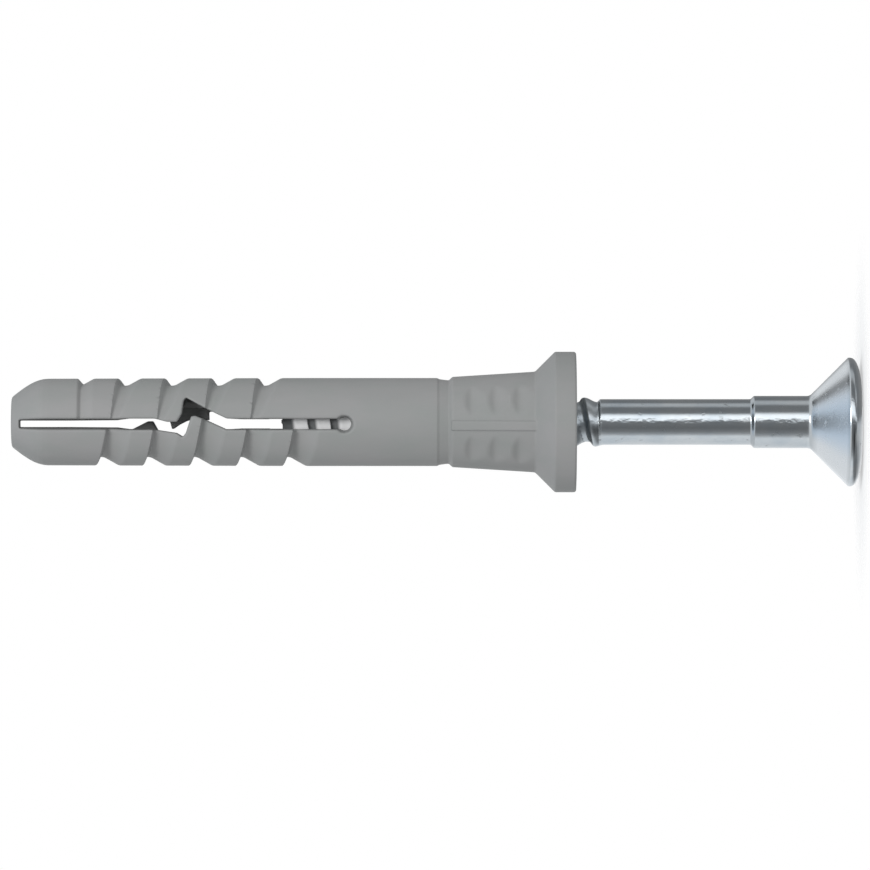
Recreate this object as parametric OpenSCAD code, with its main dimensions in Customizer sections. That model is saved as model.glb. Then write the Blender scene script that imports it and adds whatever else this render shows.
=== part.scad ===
// Hammer-in wall plug: a one-piece nylon sleeve with its drive nail set part of the way in.
// It stands on the nail's head. The origin is the centre of the head's flat end, +Z runs along
// the axis to the sleeve's tip, and the slit opens to the front (-Y) and to the back (+Y).

/* [Sleeve] */
// Length of the sleeve, from the collar's face to the tip
sleeve_l = 40; // [36:0.5:60]
// Diameter of the smooth body, which is the hole that the plug fits
body_d = 6.24; // [6:0.02:7]
// How much the ribbed part narrows from the smooth body to the rounded tip, in radius
crest_drop = 0.05; // [0:0.01:0.1]
// Diameter of the flat end of the tip
tip_d = 3.5; // [3:0.1:4.4]
// Length of the rounded tip
tip_l = 2.6; // [1.5:0.1:4]

/* [Collar and grip] */
// Height of the collar's rim
collar_rim_h = 1.5; // [1:0.05:2]
// Wall of the collar's rim round the seat of the nail's head
collar_wall = 0.36; // [0.25:0.01:1]
// How far the grip section stands out of the body at the neck groove
grip_step = 0.08; // [0:0.01:0.2]
// How much the grip section widens from the neck groove to the collar, in radius
grip_taper = 0.37; // [0.1:0.01:0.6]
// Distance from the collar's face to the neck groove
grip_l = 8.87; // [8.6:0.01:12]
// Width of the neck groove
neck_w = 0.93; // [0.5:0.01:1.5]
// Depth of the neck groove
neck_depth = 0.14; // [0.1:0.01:0.3]
// Length of the neck groove's short slope, on the collar's side
neck_foot = 0.25; // [0.1:0.05:0.4]

/* [Grip pockets] */
// Pockets in each row along the grip section
pocket_count = 3; // [1:1:3]
// Distance from one pocket to the next
pocket_pitch = 1.69; // [1.6:0.01:1.8]
// Length of a pocket's ramp, on the collar's side
pocket_ramp = 0.9; // [0.5:0.05:0.95]
// Length of a pocket's narrow flat floor
pocket_floor = 0.1; // [0.05:0.05:0.2]
// Length of a pocket's shorter slope, on the tip's side
pocket_end = 0.65; // [0.3:0.05:0.7]
// Depth of a pocket's flat floor, below the surface where its ramp starts
pocket_depth = 0.27; // [0.2:0.01:0.4]
// Turn of a pocket's flat floor from the front, or from the back
pocket_turn = 33; // [31:1:38]
// Turn of the pockets and bars about the axis, away from the slit
grip_turn = 4; // [0:0.5:6]
// Width of the raised bar between the pockets at the front and at the back
bar_w = 0.7; // [0.4:0.05:1]
// Rise of the bar above the grip section
bar_rise = 0.1; // [0.04:0.01:0.2]
// Distance from the collar's cone to the first pocket's ramp
pocket_gap = 0.2; // [0.2:0.02:0.6]

/* [Helical ribs] */
// Advance of the saw-tooth groove in one turn (left-handed)
groove_lead = 3.3; // [2.8:0.05:3.8]
// Turns of the groove
groove_turns = 5; // [3:1:5]
// Depth of the groove below the crests
groove_depth = 0.62; // [0.3:0.02:0.8]
// Length of the groove's steep wall, which faces the collar
groove_wall = 0.18; // [0.1:0.02:0.4]
// Length of the groove's floor
groove_floor = 0.45; // [0.3:0.05:0.7]
// Length of the groove's ramp
groove_ramp = 1.1; // [0.7:0.05:1.2]
// Distance from the sleeve's tip to the groove's closed end
groove_from_tip = 4.71; // [4.2:0.01:6]
// Length over which the groove's first turn is cut off by its closed end
groove_lead_in = 1.12; // [0.8:0.01:1.3]
// Distance from the groove's last turn to the smooth body
rib_run_out = 0.5; // [0.2:0.1:1]
// Share of the groove's size that it loses on its way round each half, from slit to slit
groove_fade = 0.85; // [0:0.05:0.9]
// Share of its depth that the groove loses on the +X side
groove_ease = 0.2; // [0:0.05:0.4]
// How far the groove starts back at the slit's edge, and how far it is ahead at the sides
groove_sway = 0.16; // [0:0.02:0.2]

/* [Slit] */
// Width of the slit that lets the two halves spread
slit_w = 0.78; // [0.5:0.02:1]
// Bridge that joins the two halves at the tip
slit_bridge = 0.6; // [0.4:0.05:1.2]
// Diameter of the round hole that ends the slit
slit_hole_d = 1.1; // [1:0.05:1.6]
// Distance from the sleeve's tip to the round hole
slit_l = 23.6; // [22:0.1:24]
// Distance from the sleeve's tip to the steep flank of the slit's locking teeth
teeth_from_tip = 12.4; // [11:0.1:13]
// Reach of the locking teeth along the slit, towards the tip
teeth_tip_reach = 2.2; // [1.6:0.1:2.6]
// Reach of the locking teeth along the slit, towards the collar
teeth_collar_reach = 2.9; // [2.4:0.1:3.4]
// Height of the tall notch above the slit's middle
notch_rise = 1.85; // [1.2:0.05:2]
// Depth of the small notch below the slit's middle
notch_dip = 0.9; // [0.6:0.05:1]
// Height of the hooked tooth above the slit's middle
hook_rise = 0.6; // [0.5:0.05:0.9]
// Height of the blunt tooth's end above the slit's middle
blunt_rise = 0.16; // [0:0.02:0.2]

/* [Bore] */
// Radial clearance of the nail in the sleeve
nail_gap = 0.05; // [0.02:0.01:0.12]
// Radial clearance of the nail's head in the mouth of its seat
head_gap = 0.055; // [0.02:0.005:0.2]
// Diameter of the narrow bore beyond the nail's tip, which the driven nail forces open
pilot_d = 2; // [1.2:0.05:2.2]
// Free length of the wide bore beyond the nail's tip
bore_spare = 0.8; // [0.2:0.1:3]
// Free length of the neck's bore beyond the neck, once the nail is driven
neck_spare = 0.4; // [0.2:0.1:1]

/* [Nail] */
// Length of the nail
nail_l = 41; // [38:0.5:60]
// How deep the nail stands in the sleeve as supplied
nail_set = 20.8; // [19:0.1:21.5]
// Diameter of the head
head_d = 9.15; // [8.6:0.05:9.4]
// Height of the cylindrical band at the head's widest place
head_band = 0.17; // [0.1:0.01:0.3]
// Rise of the low dome from the head's edge to its flat land
dome_rise = 0.75; // [0.2:0.05:0.9]
// Width of the flat land round the recess
land_w = 0.45; // [0.3:0.05:0.7]
// Diameter of the thick neck under the head
neck_d = 3.7; // [3.5:0.02:3.8]
// Distance from the head's end to the step down from the neck
neck_l = 7.6; // [6:0.1:9]
// Diameter of the plain shank
shank_d = 3.24; // [2.96:0.02:3.3]
// Distance from the head's end to the thread
shank_end = 18.5; // [14:0.1:19]
// Diameter over the drive thread
thread_d = 3.5; // [3.36:0.02:3.56]
// Diameter at the thread's root
thread_root_d = 2.8; // [2.4:0.02:2.9]
// Advance of the drive thread in one turn (right-handed)
thread_lead = 1.6; // [1.2:0.05:2]
// Direction in which the thread starts, from +X
thread_start = -205; // [-360:5:0]
// Distance from the plain shank to the middle of the thread's first ridge
thread_from = 0.2; // [0.2:0.1:0.8]
// Width of the thread's base
thread_base = 1; // [0.7:0.05:1.1]
// Width of the thread's crest
thread_crest = 0.25; // [0.15:0.01:0.5]
// Length of the nail's chamfered tip
nail_tip_l = 0.7; // [0.3:0.1:1]
// Diameter of the nail's blunt end
nail_tip_d = 1.6; // [1:0.1:2]

/* [Cross recess] */
// Depth of the recess
recess_depth = 1.9; // [1.2:0.1:2.4]
// Diameter over the wings of the recess at the head's end
recess_d = 4.1; // [3.4:0.1:4.2]
// Diameter over the wings at the bottom of the recess
recess_bottom_d = 2; // [1.4:0.1:2.4]
// Thickness of a wing
recess_w = 0.8; // [0.5:0.05:1]
// Diameter of the round core between the wings
recess_core_d = 1.7; // [1.2:0.1:2]

/* [Hidden] */
$fn = 96;
eps = 0.01;

collar_z = nail_l - nail_set;
sleeve_end = collar_z + sleeve_l;
body_r = body_d / 2;
crest_r = body_r - crest_drop;
grip_tip_r = body_r + grip_step;
grip_r = grip_tip_r + grip_taper;
neck_z = collar_z + grip_l;
body_z = neck_z + neck_w;

head_r = head_d / 2;
head_edge = dome_rise + head_band;
seat_r = head_r + head_gap;
collar_r = seat_r + collar_wall;
cone_end = collar_rim_h + collar_r - grip_r;
neck_bore_r = neck_d / 2 + nail_gap;
thread_bore_r = thread_d / 2 + nail_gap;
seat_h = seat_r - neck_bore_r;
// Travel of the nail until its head sits in the collar's seat
travel = collar_z + head_gap - head_edge;
neck_bore_end = neck_l + travel + neck_spare;
bore_end = nail_l + bore_spare;

slit_end = sleeve_end - slit_bridge;
hole_z = sleeve_end - slit_l;
groove_top = sleeve_end - groove_from_tip;
groove_start = groove_top + groove_lead_in;
groove_end = groove_start - groove_turns * groove_lead;
rib_z = groove_end - rib_run_out;

// Where the corners of the slit's teeth lie, as shares of the teeth's reach and rise
blunt_from = 0.6;
blunt_to = 0.3;
notch_foot = [0.16, 0.4];
notch_shoulder = [0.1, 0.9];
notch_knee = [0.5, 0.6];
hook_foot = [0.48, 0.5];
hook_back = 0.22;
hook_front = [0.13, 0.9];
dip_share = 0.7;

// Turn between two rings of the thread, rings on each half turn of the groove, the turn
// from the slit's middle to the first of them, and how fast the groove fades
ring_step = 15;
half_rings = 18;
slit_turn = 3.5;
fade_power = 4;

// Steps of a rounded outline, how far the tools that cut a pocket or a groove stand out of
// the surface, and how deep the bar and the thread are sunk into what carries them
arc_steps = 8;
clear = 0.4;
bar_sink = 0.3;
thread_sink = 0.1;
reach = 2 * collar_r;

// Faces of a tube of quads that joins `rings` rings of `n` points each, with both ends closed
function tube_faces(rings, n) = concat(
    [[for (i = [n - 1 : -1 : 0]) i]],
    [for (k = [0 : rings - 2], i = [0 : n - 1])
        [k * n + i, k * n + (i + 1) % n, (k + 1) * n + (i + 1) % n, (k + 1) * n + i]],
    [[for (i = [0 : n - 1]) (rings - 1) * n + i]]
);

// One ring of a helical sweep: a profile of [radius, height] points at angle `a`, lifted by `rise`
function ring(profile, a, rise) = [for (p = profile) [p[0] * cos(a), p[0] * sin(a), p[1] + rise]];

// Closed solid through a list of rings
module loft(rings) {
    polyhedron([for (r = rings) each r], tube_faces(len(rings), len(rings[0])), convexity = 10);
}

// Outside of the sleeve without its cuts
module sleeve_blank() {
    tip_arc = [for (i = [0 : arc_steps]) let (t = i / arc_steps)
        [tip_d / 2 + (crest_r - tip_d / 2) * cos(90 * t), sleeve_end + tip_l * (t - 1)]];
    rotate_extrude()
        polygon(concat(
            [
                [0, collar_z],
                [collar_r, collar_z],
                [collar_r, collar_z + collar_rim_h],
                [grip_r, collar_z + cone_end],
                [grip_tip_r, neck_z],
                [body_r - neck_depth, neck_z + neck_foot],
                [body_r, body_z],
                [body_r, rib_z],
            ],
            tip_arc,
            [[0, sleeve_end]]
        ));
}

// Bore for the nail, with the seat for its head and the pilot beyond its tip
module sleeve_bore() {
    translate([0, 0, collar_z - eps]) {
        cylinder(h = seat_h + eps, r1 = seat_r + eps, r2 = neck_bore_r);
        cylinder(h = neck_bore_end - collar_z + eps, r = neck_bore_r);
        cylinder(h = bore_end - collar_z + eps, r = thread_bore_r);
        cylinder(h = sleeve_l + 2 * eps, d = pilot_d);
    }
}

// Saw-tooth profile of the groove, at a share of its full size and with the same slopes. The
// floor alone lies at `depth`, as a share of the full depth
function groove_profile(share, depth) =
    let (floor_r = crest_r - groove_depth * depth,
        past = clear / groove_depth,
        end = -(groove_wall + groove_floor + groove_ramp) * share)
    [
        [crest_r + clear, groove_wall * past],
        [floor_r, -groove_wall * depth],
        [floor_r, end + groove_ramp * depth],
        [crest_r + clear, end - groove_ramp * past],
    ];

// Saw-tooth groove between the helical ribs, closed square at its tip end. Each half of the
// sleeve has it at full size at one edge of the slit and fading towards the other
module rib_groove() {
    rings = [for (half = [0 : 2 * groove_turns - 1], i = [0 : half_rings])
        let (turn = slit_turn + (180 - 2 * slit_turn) * i / half_rings,
            share = 1 - groove_fade * pow(1 - turn / 180, fade_power),
            depth = share * (1 - groove_ease * (1 - half % 2) * sin(turn)),
            sway = groove_sway * lookup(turn, [[0, -1], [90, 1], [180, 0]]))
        ring(groove_profile(share, depth), 180 * half + turn - 90,
            sway - groove_lead * (half / 2 + turn / 360))];
    intersection() {
        translate([0, 0, groove_start])
            loft(rings);
        translate([0, 0, groove_end - groove_lead])
            cylinder(h = groove_top - groove_end + groove_lead, r = reach);
    }
}

// Outline of the slit on one side, with its locking teeth `shift` nearer the tip
module slit_outline(shift) {
    w = slit_w / 2;
    teeth_z = sleeve_end - teeth_from_tip + shift;
    tip_z = teeth_z + teeth_tip_reach;
    collar_side_z = teeth_z - teeth_collar_reach;
    upper = [
        [w, slit_end],
        [w, tip_z],
        [blunt_rise, teeth_z + blunt_from * teeth_tip_reach],
        [blunt_rise, teeth_z + blunt_to * teeth_tip_reach],
        [notch_foot[1] * notch_rise, teeth_z + notch_foot[0] * teeth_tip_reach],
        [notch_shoulder[1] * notch_rise, teeth_z + notch_shoulder[0] * teeth_tip_reach],
        [notch_rise, teeth_z],
        [notch_knee[1] * notch_rise, teeth_z - notch_knee[0] * teeth_collar_reach],
        [w, collar_side_z],
        [w, hole_z],
    ];
    lower = [
        [-w, hole_z],
        [-w, collar_side_z],
        [hook_foot[1] * hook_rise, teeth_z - hook_foot[0] * teeth_collar_reach],
        [hook_rise, teeth_z - hook_back * teeth_collar_reach],
        [hook_front[1] * hook_rise, teeth_z - hook_front[0] * teeth_collar_reach],
        [-dip_share * notch_dip, teeth_z],
        [-notch_dip, teeth_z + notch_shoulder[0] * teeth_tip_reach],
        [-dip_share * notch_dip, teeth_z + blunt_to * teeth_tip_reach],
        [-w, tip_z],
        [-w, slit_end],
    ];
    polygon(concat(upper, lower));
}

// Slit through both walls: the back's teeth are the front's turned half round the axis
module slit() {
    for (side = [0, 1])
        rotate([0, 0, 180 * side])
            rotate([90, 0, 0])
                linear_extrude(height = reach)
                    slit_outline(side * groove_lead / 2);
    translate([0, 0, hole_z])
        rotate([90, 0, 0])
            cylinder(h = 2 * reach, d = slit_hole_d, center = true, $fn = 48);
}

// Raised bar between the pockets, at the front and at the back
module grip_bars() {
    for (front = [0, 1])
        mirror([0, front, 0])
            rotate([0, 0, -grip_turn])
                translate([-bar_w / 2, 0, 0])
                    rotate([90, 0, 90])
                        linear_extrude(height = bar_w)
                            polygon([
                                [-grip_r + bar_sink, collar_z + cone_end - bar_sink],
                                [-grip_r - bar_rise, collar_z + cone_end - bar_rise],
                                [-grip_tip_r - bar_rise, neck_z],
                                [-grip_tip_r + bar_sink, neck_z],
                            ]);
}

// One row of pockets whose flat floors face the front
module pocket_row() {
    out_r = grip_r + clear;
    for (i = [0 : pocket_count - 1]) {
        from = pocket_gap + i * pocket_pitch;
        z0 = collar_z + cone_end + from;
        surface_r = grip_r - grip_taper * from / (grip_l - cone_end);
        floor_r = surface_r - pocket_depth;
        floor_end = z0 + pocket_ramp + pocket_floor;
        translate([-reach / 2, 0, 0])
            rotate([90, 0, 90])
                linear_extrude(height = reach)
                    polygon([
                        [-out_r, z0],
                        [-surface_r, z0],
                        [-floor_r, z0 + pocket_ramp],
                        [-floor_r, floor_end],
                        [-surface_r, floor_end + pocket_end],
                        [-out_r, floor_end + pocket_end],
                    ]);
    }
}

// Pockets on both sides of the front bar and of the back bar
module grip_pockets() {
    for (front = [0, 1], side = [-1, 1])
        mirror([0, front, 0])
            rotate([0, 0, side * pocket_turn - grip_turn])
                pocket_row();
}

// Sleeve, moulded in one piece
module sleeve() {
    color([0.56, 0.57, 0.56])
        difference() {
            union() {
                sleeve_blank();
                grip_bars();
            }
            sleeve_bore();
            rib_groove();
            slit();
            grip_pockets();
        }
}

// Turned body of the nail without its thread and recess
module nail_blank() {
    land_r = recess_d / 2 + land_w;
    cone_h = head_r - neck_d / 2;
    step_h = (neck_d - shank_d) / 2;
    run_h = (shank_d - thread_root_d) / 2;
    dome = [for (i = [0 : arc_steps]) let (t = i / arc_steps)
        [land_r + (head_r - land_r) * sin(90 * t), dome_rise * (1 - cos(90 * t))]];
    rotate_extrude()
        polygon(concat(
            [[0, 0]],
            dome,
            [
                [head_r, head_edge],
                [neck_d / 2, head_edge + cone_h],
                [neck_d / 2, neck_l],
                [shank_d / 2, neck_l + step_h],
                [shank_d / 2, shank_end],
                [thread_root_d / 2, shank_end + run_h],
                [thread_root_d / 2, nail_l - nail_tip_l],
                [nail_tip_d / 2, nail_l],
                [0, nail_l],
            ]
        ));
}

// Drive thread, a ridge that winds up the shank to the chamfered tip
module drive_thread() {
    root_r = thread_root_d / 2 - thread_sink;
    crest = thread_d / 2;
    z0 = shank_end + thread_from;
    z1 = nail_l - nail_tip_l - thread_base / 2;
    profile = [
        [root_r, -thread_base / 2],
        [crest, -thread_crest / 2],
        [crest, thread_crest / 2],
        [root_r, thread_base / 2],
    ];
    span = 360 * (z1 - z0) / thread_lead;
    steps = ceil(span / ring_step);
    translate([0, 0, z0])
        loft([for (k = [0 : steps]) ring(profile, thread_start + span * k / steps, (z1 - z0) * k / steps)]);
}

// Cross recess for a driver, tapered towards its bottom
module cross_recess() {
    translate([0, 0, -eps])
        intersection() {
            cylinder(h = recess_depth + eps, d1 = recess_d, d2 = recess_bottom_d);
            union() {
                for (a = [0, 90])
                    rotate([0, 0, a])
                        translate([-recess_d, -recess_w / 2, 0])
                            cube([2 * recess_d, recess_w, recess_depth + eps]);
                cylinder(h = recess_depth + eps, d = recess_core_d);
            }
        }
}

// Drive nail, one piece of steel
module nail() {
    color([0.72, 0.75, 0.77])
        difference() {
            union() {
                nail_blank();
                drive_thread();
            }
            cross_recess();
        }
}

sleeve();
nail();
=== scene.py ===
# %% [markdown]
# # A hammer-in wall plug with its drive nail
#
# The object is two pieces: a grey nylon sleeve, moulded in one shot, and a zinc-plated steel nail
# that stands part of the way in it. The plug stands on the nail's head, so +Z runs up its axis to
# the sleeve's tip. The camera looks along +Y with its top turned to +X, as in the photograph,
# where the plug lies across the picture. Lengths are worked out in millimetres and become metres
# only when a mesh or a lamp is made.

# %% Load the frame
import math

import bpy
import numpy as np
from mathutils import Matrix, Vector


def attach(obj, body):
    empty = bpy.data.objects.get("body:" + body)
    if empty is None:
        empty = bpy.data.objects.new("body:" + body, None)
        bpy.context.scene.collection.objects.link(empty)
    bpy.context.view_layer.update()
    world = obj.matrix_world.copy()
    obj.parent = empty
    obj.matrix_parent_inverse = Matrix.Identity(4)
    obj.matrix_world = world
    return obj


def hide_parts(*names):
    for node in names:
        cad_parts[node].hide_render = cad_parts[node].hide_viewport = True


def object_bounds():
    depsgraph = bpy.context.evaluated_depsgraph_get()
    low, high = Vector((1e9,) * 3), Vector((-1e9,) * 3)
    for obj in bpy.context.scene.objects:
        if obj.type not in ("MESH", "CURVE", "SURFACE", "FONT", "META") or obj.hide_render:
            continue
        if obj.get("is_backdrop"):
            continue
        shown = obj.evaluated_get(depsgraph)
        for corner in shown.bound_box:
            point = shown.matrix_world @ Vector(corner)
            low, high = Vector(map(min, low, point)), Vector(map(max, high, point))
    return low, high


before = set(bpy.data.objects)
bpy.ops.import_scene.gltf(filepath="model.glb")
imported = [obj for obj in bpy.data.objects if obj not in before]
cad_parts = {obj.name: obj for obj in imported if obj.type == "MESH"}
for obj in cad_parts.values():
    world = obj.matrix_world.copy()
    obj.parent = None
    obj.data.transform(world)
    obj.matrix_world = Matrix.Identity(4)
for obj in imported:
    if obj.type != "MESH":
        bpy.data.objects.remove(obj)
cad_box = [list(v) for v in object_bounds()]
MM = 0.001
print("CAD box in mm:", [[round(c / MM, 3) for c in v] for v in cad_box])

# %% [markdown]
# ## How the two skins are made
#
# Each piece is full of edges that a mould or a thread roller leaves slightly round: the ends of
# the slit, the crests of the ribs, the flanks of the thread. Booleans would leave all of them
# knife sharp, and a bevel modifier fails on their slivers. So each piece is written as a distance
# function instead: a formula that is negative in the material, positive in the air and close to
# the true distance near the skin. Shapes are joined with a minimum and cut with a maximum, and a
# "soft" maximum rounds the edge where two faces meet.

# %% Soft joins of distances
def soft_max(a, b, width):
    """The larger of two distances, with the edge where they meet rounded over `width`."""
    h = np.maximum(width - np.abs(a - b), 0.0) / width
    return np.maximum(a, b) + h * h * width * 0.25


def soft_min(a, b, width):
    """The smaller of two distances, with a fillet of about `width` where they meet."""
    return -soft_max(-a, -b, width)


def cut(body, tool, width):
    """Takes a tool's shape out of a body."""
    return soft_max(body, -tool, width)


print("two planes that meet at a corner of 0 mm, softened:", soft_max(0.0, 0.0, 0.2))

# %% [markdown]
# ## Outlines
#
# A turned or moulded round part is a half section swept round its axis. The section is a list of
# corners, and each corner has its own radius, as on a workshop drawing. `rounded` puts an arc in
# each corner, and `Outline` gives the signed distance from any point to the finished section. A
# `Table` works that distance out once on a fine grid, because it is asked for millions of times.

# %% Rounded outlines and their distance
def rounded(corners):
    """Corners are (r, z) or (r, z, radius). Returns the outline with an arc at each corner."""
    points = []
    n = len(corners)
    for i, corner in enumerate(corners):
        p = np.array(corner[:2], float)
        radius = corner[2] if len(corner) > 2 else 0.0
        to_prev = np.array(corners[i - 1][:2], float) - p
        to_next = np.array(corners[(i + 1) % n][:2], float) - p
        lp, ln = np.linalg.norm(to_prev), np.linalg.norm(to_next)
        to_prev, to_next = to_prev / lp, to_next / ln
        half = math.acos(max(-1.0, min(1.0, float(to_prev @ to_next)))) / 2
        if radius <= 0 or half > 1.54:
            points.append(p)
            continue
        back = min(radius / math.tan(half), 0.48 * lp, 0.48 * ln)
        radius = back * math.tan(half)
        middle = (to_prev + to_next) / np.linalg.norm(to_prev + to_next)
        centre = p + middle * radius / math.sin(half)
        a, b = p + to_prev * back - centre, p + to_next * back - centre
        sweep = math.pi - 2 * half
        steps = max(2, math.ceil(sweep / math.radians(12)))
        for k in range(steps + 1):
            t = k / steps
            wa, wb = math.sin((1 - t) * sweep), math.sin(t * sweep)
            points.append(centre + (a * wa + b * wb) / math.sin(sweep))
    return np.array(points)


class Outline:
    """A closed polygon in a plane, with its signed distance: negative inside."""

    def __init__(self, points):
        self.a = np.asarray(points, float)
        self.b = np.roll(self.a, -1, axis=0)

    def distance(self, u, v):
        u, v = np.broadcast_arrays(np.asarray(u, float), np.asarray(v, float))
        best = np.full(u.shape, np.inf)
        inside = np.zeros(u.shape, bool)
        for (au, av), (bu, bv) in zip(self.a, self.b):
            eu, ev = bu - au, bv - av
            du, dv = u - au, v - av
            t = np.clip((du * eu + dv * ev) / (eu * eu + ev * ev + 1e-12), 0, 1)
            best = np.minimum(best, (du - t * eu) ** 2 + (dv - t * ev) ** 2)
            if av != bv:
                crosses = (av > v) != (bv > v)
                inside ^= crosses & (u < eu * (v - av) / ev + au)
        return np.where(inside, -1.0, 1.0) * np.sqrt(best)


class Table:
    """An outline's distance, kept on a fine grid and read between its points."""

    def __init__(self, outline, lo, hi, step=0.025):
        self.lo, self.step = np.array(lo, float), step
        self.n = [int(round((b - a) / step)) + 1 for a, b in zip(lo, hi)]
        u = lo[0] + step * np.arange(self.n[0])[:, None]
        v = lo[1] + step * np.arange(self.n[1])[None, :]
        self.f = outline.distance(u, v)

    def read(self, u, v):
        s = np.clip((u - self.lo[0]) / self.step, 0, self.n[0] - 1.001)
        t = np.clip((v - self.lo[1]) / self.step, 0, self.n[1] - 1.001)
        i, j = s.astype(int), t.astype(int)
        s, t = s - i, t - j
        f = self.f
        return ((f[i, j] * (1 - s) + f[i + 1, j] * s) * (1 - t)
                + (f[i, j + 1] * (1 - s) + f[i + 1, j + 1] * s) * t)


square = Outline(rounded([(0, 0, 0.2), (1, 0, 0.2), (1, 1, 0.2), (0, 1, 0.2)]))
print("distance from the middle of a 1 mm square:", square.distance(0.5, 0.5))

# %% [markdown]
# ## From a distance to a mesh
#
# Both pieces are long and round, so their distance is measured on a grid of rings: radius, angle
# and height. A grid along X, Y and Z would need far more points for the same roundness. A small
# ball serves to try each step out.

# %% Measure a distance on a grid of rings
def ball(x, y, z):
    """A ball with a radius of 1 mm."""
    return np.sqrt(x * x + y * y + z * z) - 1


def measure(distance, r, angle, z, slab=24):
    """The distance at every point of the grid, some rings at a time to spare memory."""
    out = np.empty((len(r), len(angle), len(z)), np.float32)
    ca, sa = np.cos(angle)[None, :, None], np.sin(angle)[None, :, None]
    for k in range(0, len(z), slab):
        rr, zz = r[:, None, None], z[None, None, k:k + slab]
        out[:, :, k:k + slab] = distance(rr * ca, rr * sa, zz + 0 * rr * ca)
    return out


measured = measure(ball, np.linspace(0.2, 1.4, 7), np.arange(8) * math.pi / 4,
                   np.linspace(-1.3, 1.3, 14))
print("the ball was measured at", measured.size, "points")

# %% [markdown]
# Each cell of the grid that the skin passes through gets one vertex. It lies at the mean of the
# places where the skin crosses the cell's edges, so it follows a slanted face closely. The ring of
# cells closes on itself, so the first angle is repeated after the last.

# %% Find the cells that the skin passes through
def crossings(f):
    """For each cell with a sign change, the mean place of its edge crossings, in grid steps."""
    f = np.concatenate([f, f[:, :1]], axis=1)
    inside = f < 0
    ni, nj, nk = (s - 1 for s in f.shape)
    total = np.zeros((ni, nj, nk), np.float32)
    place = [np.zeros((ni, nj, nk), np.float32) for _ in range(3)]
    for axis in range(3):
        lo, hi = [slice(None)] * 3, [slice(None)] * 3
        lo[axis], hi[axis] = slice(0, -1), slice(1, None)
        fa, fb = f[tuple(lo)], f[tuple(hi)]
        hit = inside[tuple(lo)] != inside[tuple(hi)]
        t = np.where(hit, fa / np.where(hit, fa - fb, 1), 0).astype(np.float32)
        others = [a for a in range(3) if a != axis]
        for da in (0, 1):
            for db in (0, 1):
                pick = [slice(None)] * 3
                for a, d, n in zip(others, (da, db), [(ni, nj, nk)[a] for a in others]):
                    pick[a] = slice(d, d + n)
                h = hit[tuple(pick)]
                total += h
                place[axis] += t[tuple(pick)]
                place[others[0]] += h * da
                place[others[1]] += h * db
    cells = np.argwhere(total > 0)
    count = total[tuple(cells.T)]
    offsets = np.stack([p[tuple(cells.T)] / count for p in place], axis=1)
    return cells, offsets, inside


print("the ball's skin passes through", len(crossings(measured)[0]), "cells")

# %% [markdown]
# Four cells lie round each edge of the grid that the skin crosses, and their vertices make one
# quad. Its corners run the other way round where the material lies on the other side, so that all
# faces look outwards.

# %% Join the cells with quads
def quads(inside, number):
    """One quad for each grid edge that the skin crosses, wound so that it faces outwards."""
    faces = []
    turns = number.shape[1]
    for axis in range(3):
        lo, hi = [slice(None)] * 3, [slice(None)] * 3
        lo[axis], hi[axis] = slice(0, -1), slice(1, None)
        if axis != 1:
            lo[1] = hi[1] = slice(0, turns)
        was, becomes = inside[tuple(lo)], inside[tuple(hi)]
        where = np.argwhere(was != becomes)
        b, c = [(1, 2), (2, 0), (0, 1)][axis]
        keep = np.ones(len(where), bool)
        for a in (b, c):
            if a != 1:
                keep &= (where[:, a] > 0) & (where[:, a] < number.shape[a])
        where = where[keep]
        flip = becomes[tuple(where.T)]
        corners = []
        for db, dc in ((1, 1), (0, 1), (0, 0), (1, 0)):
            cell = where.copy()
            cell[:, b] -= db
            cell[:, c] -= dc
            cell[:, 1] %= turns
            corners.append(number[tuple(cell.T)])
        quad = np.stack(corners, axis=1)
        quad[flip] = quad[flip][:, ::-1]
        faces.append(quad)
    return np.concatenate(faces)


cells, _, inside = crossings(measured)
number = np.full((6, 8, 13), -1)
number[tuple(cells.T)] = np.arange(len(cells))
print("the ball has", len(quads(inside, number)), "quads, its two ends left open")

# %% [markdown]
# The slope of a distance points straight out of the skin. It serves twice: to pull vertices onto
# the skin, and as the normal there.

# %% Slope of a distance
def gradient(distance, p, h=0.004):
    """Slope of the distance along X, Y and Z at each point."""
    x, y, z = p.T
    return np.stack([
        distance(x + h, y, z) - distance(x - h, y, z),
        distance(x, y + h, z) - distance(x, y - h, z),
        distance(x, y, z + h) - distance(x, y, z - h),
    ], axis=1) / (2 * h)


print("slope of the ball's distance at X = 1:", gradient(ball, np.array([[1.0, 0, 0]])).round(3))

# %% [markdown]
# Three Newton steps pull each vertex onto the skin, so a cylinder comes out truly round. A step is
# never longer than a share of the grid's smallest step, or vertices would leap across an edge.
# Cells on the axis share one fan. Flat places don't need so many faces, so the mesh is thinned,
# and it takes its normals from the formula itself, which keeps the shading as smooth as before.

# %% Skin a piece
PULL_STEPS, PULL, MOST_TRIANGLES = 3, 0.6, 180000
NORMAL_REACH = 0.02


def thinned(piece, most):
    """Collapses the shortest edges, flat places first, until `most` triangles are left."""
    triangles = sum(len(p.vertices) - 2 for p in piece.data.polygons)
    if triangles > most:
        modifier = piece.modifiers.new("thin", "DECIMATE")
        modifier.ratio = most / triangles
        graph = bpy.context.evaluated_depsgraph_get()
        thin = bpy.data.meshes.new_from_object(piece.evaluated_get(graph))
        piece.modifiers.clear()
        piece.data = thin
        piece.data.shade_smooth()
    return triangles


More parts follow.
